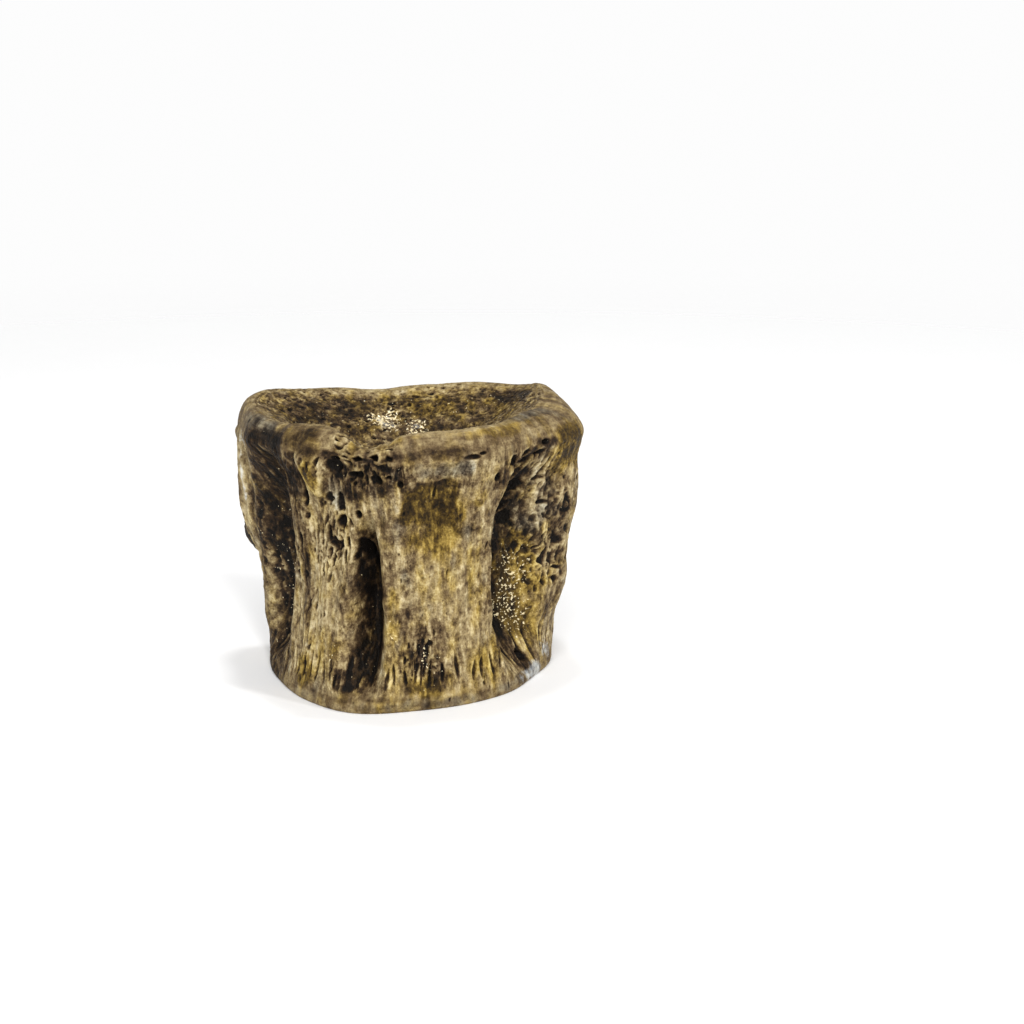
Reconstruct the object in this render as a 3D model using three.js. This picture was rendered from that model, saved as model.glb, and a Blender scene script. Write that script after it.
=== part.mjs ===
// A fossil fish vertebra: one solid spool of bone, standing on one end with a hollow cone in each end.
// Millimetres, +Z up. The origin is on the floor, under the middle of the bone, and -Y is its front.
// Angles go round from the front (0 degrees) towards +X (90 degrees).

import * as THREE from "three";

// Driving dimensions
const HEIGHT = 28;
const SHOULDER_HEIGHT = 25.2; // where the side wall ends and the rounded lip of the upper rim begins
const FOOT_RISE = 1.3; // height of the rounded edge of the lower rim
const FOOT_WIDTH = 1.7; // the flat ring that the bone stands on
const UPPER_CUP_DEPTH = 11.5;
const LOWER_CUP_DEPTH = 10.5;
const CUP_POWER = 1.2; // 1 is a straight cone, and more rounds its edge
const EDGE_WIDTH = 0.5; // how far the lower rim's rounded edge reaches out from the flat ring
const WAIST_DEPTH = 1.7; // how far the side wall draws in half way up
const RIB_HEIGHT = 0.18; // the lengthwise ribs of the side wall, about 3.5 mm apart
const GROWTH_HEIGHT = 0.14; // the growth rings of both cups, with two rings of the mesh to each
const TOP_TILT = 0.018; // rise of the upper rim for each millimetre to the right
const BOX_OFFSET = [0.55, -0.24]; // brings the middle of the bone's box over the origin

// Mesh density
const COLUMNS = 112;
const WALL_RINGS = 26;
const UPPER_CUP_RINGS = 11;
const LOWER_CUP_RINGS = 9;
const LIP_SHARES = [0.33, 0.72]; // how far the rings of the lip lie from the side wall to the crest

// Plan outlines, as radii at even angles from the front: of the flat foot's outer edge,
// of the side wall just under the upper rim, and of the upper rim's crest.
const FOOT_RADII = [
  15.2, 14.4, 14.0, 13.6, 14.7, 15.5, 15.8, 14.8,
  14.0, 14.0, 15.2, 16.5, 15.8, 15.4, 16.1, 16.8,
];
const WALL_RADII = [
  15.3, 14.9, 14.7, 15.6, 17.8, 18.0, 18.9, 17.2,
  15.6, 15.7, 17.6, 18.2, 17.8, 16.6, 15.2, 15.1,
];
const CREST_RADII = [
  13.6, 12.7, 12.1, 12.0, 12.9, 14.8, 17.4, 15.9,
  14.2, 14.0, 16.1, 17.8, 16.0, 14.3, 13.2, 13.7,
];

// Hollows in the side wall. Each is deepest along a line at its angle (degrees), which leans by lean and
// bows by bow towards its ends. left and right are its half widths in degrees, low and high its ends in
// millimetres, and flare widens it towards its foot. floor is the share of it that is flat.
const HOLLOWS = [
  {
    name: "left hollow", angle: -76, left: 18, right: 17,
    low: 0.8, high: 26, depth: 2.8, lean: 5, floor: 0.3,
  },
  {
    name: "left back groove", angle: -105, left: 6, right: 6,
    low: 8, high: 26, depth: 1,
  },
  {
    name: "left pocket", angle: -67, left: 13, right: 13,
    low: 20.6, high: 27.2, depth: 0.7, floor: 0.3,
  },
  {
    name: "front groove", angle: -20, left: 10, right: 9,
    low: 0.2, high: 20.4, depth: 3.7, lean: 1, flare: 0.4, floor: 0.1,
  },
  {
    name: "brow hollow", angle: 11, left: 20, right: 19,
    low: 15, high: 27, depth: 1.5,
  },
  {
    name: "right pit", angle: 49, left: 14, right: 28,
    low: 0.2, high: 26.2, depth: 4.6, bow: 7, floor: 0.1,
  },
  {
    name: "right back pit", angle: 126, left: 17, right: 15,
    low: 1.2, high: 25.2, depth: 4.6, lean: 2, floor: 0.15,
  },
  {
    name: "back groove", angle: 171, left: 12, right: 11,
    low: 2, high: 22, depth: 3.4, lean: -2, flare: 0.25, floor: 0.1,
  },
  {
    name: "left back pit", angle: -141, left: 16, right: 15,
    low: 1.2, high: 25, depth: 4.2, lean: -3, floor: 0.15,
  },
];

// Swellings of the side wall, in the same terms.
const SWELLINGS = [
  {
    name: "right wing", angle: 90, left: 22, right: 20,
    low: 3, high: 23.5, depth: 1.7,
  },
  {
    name: "right heel", angle: 101, left: 24, right: 18,
    low: 0, high: 13, depth: 0.8,
  },
  {
    name: "left corner", angle: -112, left: 15, right: 19,
    low: 10.5, high: 27, depth: 2.3, floor: 0.4,
  },
  {
    name: "left heel", angle: -106, left: 18, right: 24,
    low: 0, high: 24, depth: 1.5,
  },
  {
    name: "lip tongue", angle: -42, left: 9, right: 8,
    low: 19.5, high: 29.5, depth: 0.6,
  },
];

// Dips and rises of the upper rim's crest: angle and half width in degrees, height in millimetres.
const CREST_BUMPS = [
  { name: "broken lip", angle: -20, half: 16, height: -1.0 },
  { name: "left front lip", angle: -48, half: 18, height: 0.25 },
  { name: "far lip", angle: 178, half: 60, height: -0.35 },
  { name: "left far corner", angle: -116, half: 30, height: 0.8 },
  { name: "right far corner", angle: 112, half: 30, height: 0.6 },
];

const smooth = (t) => {
  const s = Math.min(Math.max(t, 0), 1);
  return s * s * (3 - 2 * s);
};

// Signed difference of two angles in degrees, from -180 to 180.
const turn = (a, b) => ((((a - b + 180) % 360) + 360) % 360) - 180;

// A closed outline's radius at an angle, by a smooth curve through its even radii.
function outline(radii, degrees) {
  const place = ((degrees / 360 + 1) % 1) * radii.length;
  const first = Math.floor(place);
  const t = place - first;
  const [a, b, c, d] = [-1, 0, 1, 2].map((k) => radii[(first + k + radii.length) % radii.length]);
  return b + 0.5 * t * (c - a + t * (2 * a - 5 * b + 4 * c - d + t * (3 * (b - c) + d - a)));
}

// How deep a hollow is, or how far a swelling stands out, at a place on the wall.
function relief(form, degrees, z) {
  const v = (2 * z - form.low - form.high) / (form.high - form.low);
  if (Math.abs(v) >= 1) return 0;
  const { lean = 0, bow = 0, flare = 0, floor = 0 } = form;
  const away = turn(degrees, form.angle + lean * v + bow * v * v);
  const half = (away < 0 ? form.left : form.right) * (1 - flare * v);
  const q = Math.hypot(away / half, v * v);
  return form.depth * (1 - smooth((q - floor) / (1 - floor)));
}

// The slight waviness of worn bone, with its wandering ribs.
function waviness(degrees, z) {
  const a = THREE.MathUtils.degToRad(degrees);
  const rib = 26 * a + 1.6 * Math.sin(3 * a + 0.2 * z) + Math.sin(0.3 * z + 2 * Math.sin(a));
  return (
    RIB_HEIGHT * Math.sin(rib) +
    0.14 * Math.sin(5 * a + 1) * Math.cos(0.3 * z) +
    0.12 * Math.sin(9 * a) * Math.cos(0.45 * z + 1) +
    0.08 * Math.sin(15 * a + 2) * Math.cos(0.7 * z + 2)
  );
}

function wallRadius(degrees, z) {
  const u = z / SHOULDER_HEIGHT;
  const share = smooth(u);
  let r = outline(FOOT_RADII, degrees) * (1 - share) + outline(WALL_RADII, degrees) * share;
  r -= WAIST_DEPTH * (1 - (2 * u - 1) ** 2);
  r += waviness(degrees, z) * Math.sin(Math.PI * Math.min(u, 1));
  for (const form of HOLLOWS) r -= relief(form, degrees, z);
  for (const form of SWELLINGS) r += relief(form, degrees, z);
  return r;
}

function crestHeight(degrees, r) {
  const a = THREE.MathUtils.degToRad(degrees);
  let z = HEIGHT + TOP_TILT * r * Math.sin(a) + 0.12 * Math.sin(7 * a) + 0.08 * Math.sin(12 * a + 1);
  for (const bump of CREST_BUMPS) {
    z += bump.height * (1 - smooth(Math.abs(turn(degrees, bump.angle)) / bump.half));
  }
  return z;
}

// How far a cup's growth rings stand out, at a share of the way from its rim to its middle.
const growth = (q, rings) => GROWTH_HEIGHT * Math.cos(Math.PI * rings * q) * Math.sin(Math.PI * q);

// The rings of the surface, from the middle of the lower cup, out over the foot, up the wall, over the
// lip and down to the middle of the upper cup. Each is a function of an angle that gives [radius, z].
function ringsOfBone() {
  const rings = [];
  const footInner = (a) => outline(FOOT_RADII, a) - FOOT_WIDTH - EDGE_WIDTH;
  for (let i = 0; i < LOWER_CUP_RINGS; i++) {
    const q = 1 - i / LOWER_CUP_RINGS;
    const z = LOWER_CUP_DEPTH * q ** CUP_POWER - growth(q, LOWER_CUP_RINGS);
    rings.push((a) => [footInner(a) * (1 - q), z]);
  }
  rings.push((a) => [footInner(a), 0]);
  rings.push((a) => [footInner(a) + FOOT_WIDTH, 0]);
  const edgeHeight = FOOT_RISE / 2;
  rings.push((a) => [wallRadius(a, edgeHeight) - EDGE_WIDTH / 4, edgeHeight]);
  for (let i = 0; i <= WALL_RINGS; i++) {
    const z = FOOT_RISE + ((SHOULDER_HEIGHT - FOOT_RISE) * i) / WALL_RINGS;
    rings.push((a) => [wallRadius(a, z), z]);
  }
  for (const share of LIP_SHARES) {
    rings.push((a) => {
      const crest = outline(CREST_RADII, a);
      const wall = wallRadius(a, SHOULDER_HEIGHT);
      const rise = Math.sin((share * Math.PI) / 2);
      const top = crestHeight(a, crest);
      return [wall + (crest - wall) * share ** 1.6, SHOULDER_HEIGHT + (top - SHOULDER_HEIGHT) * rise];
    });
  }
  const floor = HEIGHT - UPPER_CUP_DEPTH;
  for (let i = 0; i < UPPER_CUP_RINGS; i++) {
    const q = i / UPPER_CUP_RINGS;
    const rise = growth(q, UPPER_CUP_RINGS);
    rings.push((a) => {
      const crest = outline(CREST_RADII, a);
      return [crest * (1 - q), floor + (crestHeight(a, crest) - floor) * (1 - q ** CUP_POWER) + rise];
    });
  }
  return rings;
}

// A plain lathe gives the closed mesh, and each of its columns of vertices then takes the bone's own rings.
function centrumGeometry() {
  const rings = ringsOfBone();
  const ends = [LOWER_CUP_DEPTH, HEIGHT - UPPER_CUP_DEPTH];
  const last = rings.length; // the lower pole is ring 0, and the upper pole is the point after the last
  const profile = Array.from({ length: last + 1 }, (_, i) => new THREE.Vector2(i % last ? 1 : 0, i));
  const geometry = new THREE.LatheGeometry(profile, COLUMNS);
  const position = geometry.getAttribute("position");
  for (let column = 0; column <= COLUMNS; column++) {
    const degrees = (360 * (column % COLUMNS)) / COLUMNS;
    const a = THREE.MathUtils.degToRad(degrees);
    for (let i = 0; i <= last; i++) {
      const pole = i === 0 || i === last;
      const [r, z] = pole ? [0, ends[i === 0 ? 0 : 1]] : rings[i](degrees);
      const x = r * Math.sin(a) + BOX_OFFSET[0];
      const y = -r * Math.cos(a) + BOX_OFFSET[1];
      position.setXYZ(column * (last + 1) + i, x, y, z);
    }
  }
  geometry.deleteAttribute("normal");
  geometry.deleteAttribute("uv");
  return geometry;
}

const bone = new THREE.MeshStandardMaterial({ color: 0x8d7a52, roughness: 0.45, metalness: 0 });
const centrum = new THREE.Mesh(centrumGeometry(), bone);
centrum.name = "centrum";

const vertebra = new THREE.Group();
vertebra.add(centrum);

export default vertebra;
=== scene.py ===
"""The looks of a fossil fish vertebra: one sculpted bone with its pores, fibres and stains, on a pale floor.

Lengths in the sculpting are millimetres from the bone's own axis, and angles are degrees from its front (-Y)
towards its right (+X). Blender's objects are in metres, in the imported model's frame.
"""

import itertools
import logging
import math
from dataclasses import dataclass
from enum import Enum

import bpy
import numpy as np
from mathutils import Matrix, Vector


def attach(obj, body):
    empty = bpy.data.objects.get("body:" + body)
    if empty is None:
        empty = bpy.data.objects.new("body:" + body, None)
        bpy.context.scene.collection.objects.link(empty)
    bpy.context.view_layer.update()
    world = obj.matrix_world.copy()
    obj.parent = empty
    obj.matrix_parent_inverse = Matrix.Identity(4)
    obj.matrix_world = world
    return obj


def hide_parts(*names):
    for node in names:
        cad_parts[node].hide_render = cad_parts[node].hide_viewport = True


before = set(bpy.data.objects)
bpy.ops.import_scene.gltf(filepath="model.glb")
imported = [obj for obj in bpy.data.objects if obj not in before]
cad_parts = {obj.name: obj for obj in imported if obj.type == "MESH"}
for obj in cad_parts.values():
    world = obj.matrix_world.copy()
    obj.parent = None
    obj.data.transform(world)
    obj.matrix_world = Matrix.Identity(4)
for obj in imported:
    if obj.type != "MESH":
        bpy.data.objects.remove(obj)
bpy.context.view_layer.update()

MM = 0.001
FULL_TURN = 360.0
LOG = logging.getLogger("vertebra")


def smooth(share: np.ndarray) -> np.ndarray:
    """Eases a share from 0 to 1, flat at both ends.

    Args:
        share: The share, which may pass 0 and 1.

    Returns:
        The eased share, from 0 to 1.
    """
    held = np.clip(share, 0.0, 1.0)
    return held * held * (3.0 - 2.0 * held)


def turn(angle: np.ndarray, origin: float) -> np.ndarray:
    """Signed difference of two angles.

    Args:
        angle: The angles, in degrees.
        origin: The angle that they are counted from, in degrees.

    Returns:
        The differences, from -180 to 180 degrees.
    """
    return (angle - origin + FULL_TURN / 2) % FULL_TURN - FULL_TURN / 2


def outline(radii: tuple[float, ...], angle: np.ndarray) -> np.ndarray:
    """A closed outline's radius at some angles, by a smooth curve through its even radii.

    Args:
        radii: The radii at even angles from the front, in millimetres.
        angle: The angles, in degrees.

    Returns:
        The radii at those angles, in millimetres.
    """
    table = np.array(radii)
    place = ((angle / FULL_TURN + 1.0) % 1.0) * len(table)
    first = np.floor(place).astype(int)
    t = place - first
    a, b, c, d = (table[(first + k) % len(table)] for k in (-1, 0, 1, 2))
    return b + 0.5 * t * (c - a + t * (2 * a - 5 * b + 4 * c - d + t * (3 * (b - c) + d - a)))


class Zone(Enum):
    """The skin's stretches from the middle of the lower hollow to that of the upper, and their rings."""

    LOWER_CUP = 90
    FOOT = 6
    EDGE = 14
    WALL = 250
    LIP = 60
    UPPER_CUP = 170


class Stain(Enum):
    """What is painted on the skin, each a mask from 0 to 1: real stains, but also painted shade in the dark
    mask and a painted bluish reflection in the blue mask.
    """

    # dark: real dark stains, and painted shade in the hollows, the pits and under the overhangs.
    DARK = "dark"
    BROWN = "brown"
    OCHRE = "ochre"
    OLIVE = "olive"
    GREY = "grey"
    PALE = "pale"
    # blue: painted reflection of the bright surroundings, bluish-white on edges, the foot and the cup's damp
    # far wall.
    BLUE = "blue"
    WET = "wet"
    POROUS = "porous"
    NET = "net"


@dataclass(frozen=True)
class Grain:
    """Seeded noise in space, from -1 to 1."""

    seed: int
    size: int = 48

    def at(self, x: np.ndarray, y: np.ndarray, z: np.ndarray) -> np.ndarray:
        """The noise at some points, with about one bump for each unit of length.

        Args:
            x: First coordinates.
            y: Second coordinates.
            z: Third coordinates.

        Returns:
            The noise at each point.
        """
        table = np.random.default_rng(self.seed).uniform(-1, 1, (self.size,) * 3).astype(np.float32)
        low, part = [], []
        for axis in np.broadcast_arrays(x, y, z):
            cell = np.floor(axis)
            part.append(smooth(axis - cell).astype(np.float32))
            low.append(cell.astype(np.int32) % self.size)
        total = np.zeros(low[0].shape, np.float32)
        for corner in range(8):
            picks = [(corner >> k) & 1 for k in range(3)]
            weight = np.ones(total.shape, np.float32)
            for k, pick in enumerate(picks):
                weight *= part[k] if pick else 1 - part[k]
            i, j, k = ((low[axis] + picks[axis]) % self.size for axis in range(3))
            total += weight * table[i, j, k]
        return total

    def strands(self, x: np.ndarray, y: np.ndarray, z: np.ndarray) -> np.ndarray:
        """A net of narrow crests with broad troughs between them.

        Args:
            x: First coordinates.
            y: Second coordinates.
            z: Third coordinates.

        Returns:
            The height at each point, from -1 in the troughs to 1 on the crests.
        """
        return 1 - 2 * np.minimum(np.abs(self.at(x, y, z)) * 2.6, 1) ** 0.8

    def layered(self, x: np.ndarray, y: np.ndarray, z: np.ndarray, layers: int = 3) -> np.ndarray:
        """Finer and fainter noise on top of the first, each layer half the size of the one before.

        Args:
            x: First coordinates.
            y: Second coordinates.
            z: Third coordinates.
            layers: How many layers of noise.

        Returns:
            The noise at each point.
        """
        total = 0.0
        for layer in range(layers):
            scale = 2.03**layer
            finer = Grain(self.seed + 101 * layer, self.size)
            total = total + finer.at(x * scale + 7.3 * layer, y * scale - 3.1 * layer, z * scale) / 2**layer
        return total / (2 - 0.5 ** (layers - 1))


@dataclass(frozen=True)
class Cells:
    """Seeded cells in space, about one to each unit cube, as the rooms of spongy bone."""

    seed: int
    size: int = 24

    def rooms(self, x: np.ndarray, y: np.ndarray, z: np.ndarray) -> tuple[np.ndarray, np.ndarray]:
        """Finds the room that each point is in.

        Args:
            x: First coordinates.
            y: Second coordinates.
            z: Third coordinates.

        Returns:
            How far the points are from their rooms' walls, and each room's own number, from 0 to 1.
        """
        rng = np.random.default_rng(self.seed)
        spots = rng.random((self.size,) * 3 + (3,), dtype=np.float32)
        numbers = rng.random((self.size,) * 3, dtype=np.float32)
        cell = [np.floor(axis).astype(np.int32) for axis in (x, y, z)]
        part = [(axis - low).astype(np.float32) for axis, low in zip((x, y, z), cell)]
        nearest = np.full(part[0].shape, 9.0, np.float32)
        second, room = nearest.copy(), np.zeros_like(nearest)
        for step in itertools.product((-1, 0, 1), repeat=3):
            index = tuple((low + move) % self.size for low, move in zip(cell, step))
            spot = spots[index]
            gap = sum((move + spot[..., k] - part[k]) ** 2 for k, move in enumerate(step))
            closer = gap < nearest
            second = np.where(closer, nearest, np.minimum(second, gap))
            room = np.where(closer, numbers[index], room)
            nearest = np.where(closer, gap, nearest)
        return np.sqrt(second) - np.sqrt(nearest), room


@dataclass(frozen=True)
class Form:
    """One hollow or swelling of the side wall, deepest along a line at its angle.

    The line leans by lean and bows by bow degrees towards its ends. left and right are its half widths in
    degrees, low and high its ends, and flare widens it towards its foot. flat is the share that is flat.
    """

    angle: float
    left: float
    right: float
    low: float
    high: float
    depth: float
    lean: float = 0.0
    bow: float = 0.0
    flare: float = 0.0
    flat: float = 0.0

    def reach(self, angle: np.ndarray, z: np.ndarray) -> np.ndarray:
        """How fully the form acts at some places on the wall.

        Args:
            angle: The angles, in degrees.
            z: The heights, in millimetres.

        Returns:
            The shares of its depth, from 0 to 1.
        """
        v = (2 * z - self.low - self.high) / (self.high - self.low)
        away = turn(angle, self.angle) - self.lean * v - self.bow * v * v
        half = np.where(away < 0, self.left, self.right) * (1 - self.flare * v)
        q = np.hypot(away / half, v * v)
        return np.where(np.abs(v) < 1, 1 - smooth((q - self.flat) / (1 - self.flat)), 0.0)


@dataclass(frozen=True)
class Patch:
    """A soft patch of a stain: its middle, half width in degrees, half height, strength, lean and edge."""

    angle: float
    along: float
    half_width: float
    half_height: float
    strength: float = 1.0
    lean: float = 0.0
    edge: float = 0.55


@dataclass(frozen=True)
class Pore:
    """One hole in the skin: its middle, half sizes and depth in millimetres, and its lean sideways."""

    angle: float
    along: float
    half_width: float
    half_height: float
    depth: float
    lean: float = 0.0


class Skin:
    """The bone's skin as a grid of rings and columns, with the relief and the stains that go on it."""

    def __init__(self, angle: np.ndarray, along: np.ndarray, radius: np.ndarray, z: np.ndarray) -> None:
        """Starts a bare skin.

        Args:
            angle: Each column's angle, in degrees.
            along: Each ring's way up the skin from the foot, in millimetres.
            radius: Each point's distance from the axis, in millimetres.
            z: Each point's height, in millimetres.
        """
        self.angle = angle
        self.along = along
        self.radius = radius
        self.z = z
        self.lift = np.zeros(radius.shape, np.float32)
        self.sunk = np.zeros(radius.shape, np.float32)
        self.tint = np.zeros(radius.shape, np.float32)
        self.masks = {stain: np.zeros(radius.shape, np.float32) for stain in Stain}
        radians = np.radians(angle)[None, :]
        x, y = radius * np.sin(radians), -radius * np.cos(radians)
        self.ragged = Grain(5).layered(x / 0.8, y / 0.8, z / 1.3)
        self.drift = Grain(6).layered(x / 2.4, y / 2.4, z / 3.6, 2)

    def ring(self, along: float) -> int:
        """The number of the ring nearest to a way up the skin."""
        return int(np.clip(np.searchsorted(self.along, along), 0, len(self.along) - 1))

    def column(self, angle: float) -> int:
        """The number of the column nearest to an angle."""
        return round((angle % FULL_TURN) / FULL_TURN * len(self.angle)) % len(self.angle)

    def window(self, angle: float, along: float, half_width: float, half_height: float) -> tuple:
        """The part of the grid round a place.

        Args:
            angle: The place's angle, in degrees.
            along: Its way up the skin, in millimetres.
            half_width: Half the window's width, in degrees.
            half_height: Half its height, in millimetres.

        Returns:
            The index of the window, and in it the degrees to the right of and millimetres above the place.
        """
        rings = np.arange(self.ring(along - half_height), self.ring(along + half_height) + 1)
        step = FULL_TURN / len(self.angle)
        count = min(math.ceil(half_width / step), len(self.angle) // 2 - 1)
        columns = (self.column(angle) + np.arange(-count, count + 1)) % len(self.angle)
        across = turn(self.angle[columns], angle)[None, :]
        return np.ix_(rings, columns), across, (self.along[rings] - along)[:, None]

    def sink(self, pore: Pore) -> None:
        """Cuts one pore into the skin.

        Args:
            pore: The pore.
        """
        radius = max(float(self.radius[self.ring(pore.along), self.column(pore.angle)]), 0.5)
        per_mm = math.degrees(1 / radius)
        widest = 1.3 * (pore.half_width + abs(pore.lean) * pore.half_height)
        index, across, up = self.window(pore.angle, pore.along, widest * per_mm, 1.3 * pore.half_height)
        side = across / per_mm - pore.lean * up
        uneven = 1 + 0.35 * self.ragged[index] + 0.45 * self.drift[index]
        q = np.hypot(side / pore.half_width, up / pore.half_height) * uneven
        bowl = pore.depth * (1 - smooth((q - 0.3) / 0.7))
        self.sunk[index] = np.maximum(self.sunk[index], bowl)

    def sink_rooms(self, hole: np.ndarray, number: np.ndarray, depth: float, shallow: float) -> None:
        """Cuts many small rooms into the skin, each to its own depth.

        Args:
            hole: How open each point is, from 0 to 1.
            number: The number of each point's room, from 0 to 1.
            depth: The deepest room, in millimetres.
            shallow: The shallowest room, as a share of the deepest.
        """
        self.sunk = np.maximum(self.sunk, depth * (shallow + (1 - shallow) * number) * hole)
        self.tint = np.where(hole > 0.3, number, self.tint)

    def paint(self, stain: Stain, patch: Patch) -> None:
        """Lays one patch of stain on the skin, over what is there where it is stronger.

        Args:
            stain: The stain.
            patch: The patch.
        """
        widest = 1.6 * (patch.half_width + abs(patch.lean) * patch.half_height)
        index, across, up = self.window(patch.angle, patch.along, widest, 1.6 * patch.half_height)
        side = across - patch.lean * up
        q = np.hypot(side / patch.half_width, up / patch.half_height)
        q = q + 0.42 * self.drift[index] + 0.26 * self.ragged[index]
        soft = patch.strength * (1 - smooth((q - 1 + patch.edge) / patch.edge))
        mask = self.masks[stain]
        mask[index] = np.maximum(mask[index], soft)

    def recess(self, height: np.ndarray, width: int) -> np.ndarray:
        """How far each point lies below the mean of its neighbours.

        Args:
            height: The relief, in millimetres.
            width: Half the width of the neighbourhood, in columns and rings.

        Returns:
            The depths, in millimetres, negative on what stands proud.
        """
        padded = np.concatenate([height[:, -width - 1 :], height, height[:, :width]], axis=1)
        sums = np.cumsum(padded, axis=1, dtype=np.float64)
        mean = (sums[:, 2 * width + 1 :] - sums[:, : -2 * width - 1]) / (2 * width + 1)
        rows = np.pad(mean, ((width + 1, width), (0, 0)), mode="edge")
        sums = np.cumsum(rows, axis=0)
        mean = (sums[2 * width + 1 :] - sums[: -2 * width - 1]) / (2 * width + 1)
        return (mean - height).astype(np.float32)


HOLLOWS = (
    Form(-76, 18, 17, 0.8, 26, 2.8, lean=5, flat=0.3),
    Form(-105, 6, 6, 8, 26, 1.0),
    Form(-67, 13, 13, 20.6, 27.2, 0.7, flat=0.3),
    Form(-20, 10, 9, 0.2, 20.4, 3.7, lean=1, flare=0.4, flat=0.1),
    Form(11, 20, 19, 15, 27, 1.5),
    Form(49, 14, 28, 0.2, 26.2, 4.6, bow=7, flat=0.1),
    Form(126, 17, 15, 1.2, 25.2, 4.6, lean=2, flat=0.15),
    Form(171, 12, 11, 2, 22, 3.4, lean=-2, flare=0.25, flat=0.1),
    Form(-141, 16, 15, 1.2, 25, 4.2, lean=-3, flat=0.15),
)
SWELLINGS = (
    Form(90, 22, 20, 3, 23.5, 1.7),
    Form(101, 24, 18, 0, 13, 0.8),
    Form(-112, 15, 19, 10.5, 27, 2.3, flat=0.4),
    Form(-106, 18, 24, 0, 24, 1.5),
    Form(-42, 9, 8, 19.5, 29.5, 0.6),
)
RIDGES = ((-42.0, 20.0), (9.0, 26.0), (84.0, 18.0), (149.0, 18.0), (-168.0, 14.0), (-118.0, 18.0))

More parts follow.
